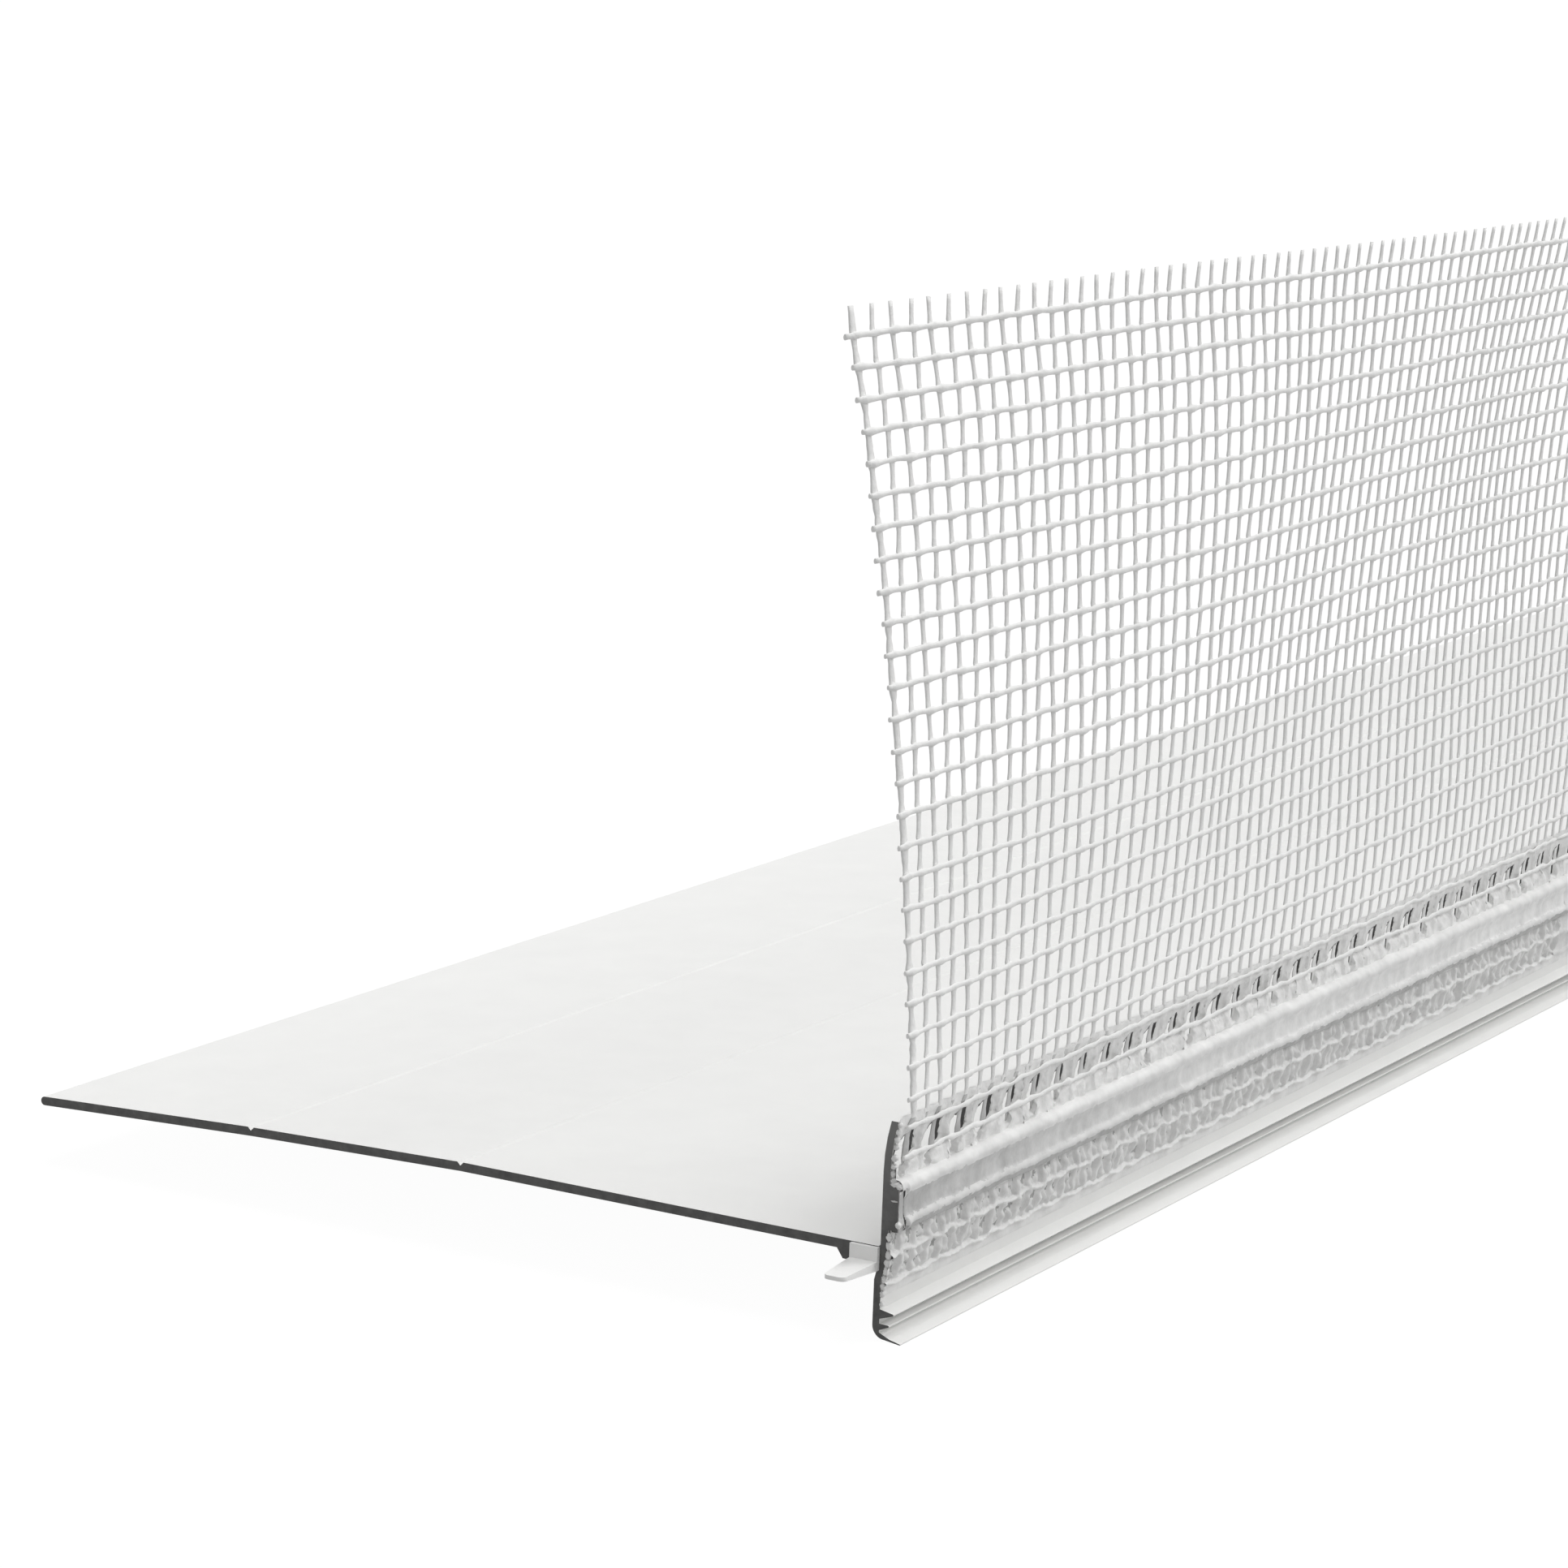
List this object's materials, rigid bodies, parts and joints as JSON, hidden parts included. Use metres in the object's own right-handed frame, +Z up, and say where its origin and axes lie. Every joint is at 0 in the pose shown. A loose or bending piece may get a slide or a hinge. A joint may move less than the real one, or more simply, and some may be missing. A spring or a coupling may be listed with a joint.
{
  "type": "pvc drip profile",
  "caption": "Extruded angle with a wide score-lined sheet, a slotted front leg over a drip lip, a welded mesh strip standing up from the leg and a plug connector in one end.",
  "frame": {"origin": "bottom centre of the whole part's box, on the level of the drip lip's underside", "axes": "+X to the front, where the mesh and the drip lip are; +Y along the stock, away from the end with the connector; +Z up"},
  "size_m": [0.1382, 2.009, 0.131],
  "materials": {
    "profile": "white extruded PVC, satin",
    "mesh_rows": "glass yarn in a white polymer coat, matt",
    "mesh_strands": "glass yarn in a white polymer coat, matt",
    "mesh_glued_edge": "glass yarn soaked in white weld plastic, lumpy",
    "connector": "white moulded plastic, satin"
  },
  "bodies": {
    "root": {"profile": "profile", "mesh_rows": "mesh_rows", "mesh_strands": "mesh_strands", "mesh_glued_edge": "mesh_glued_edge", "connector": "connector"}
  },
  "joints": []
}
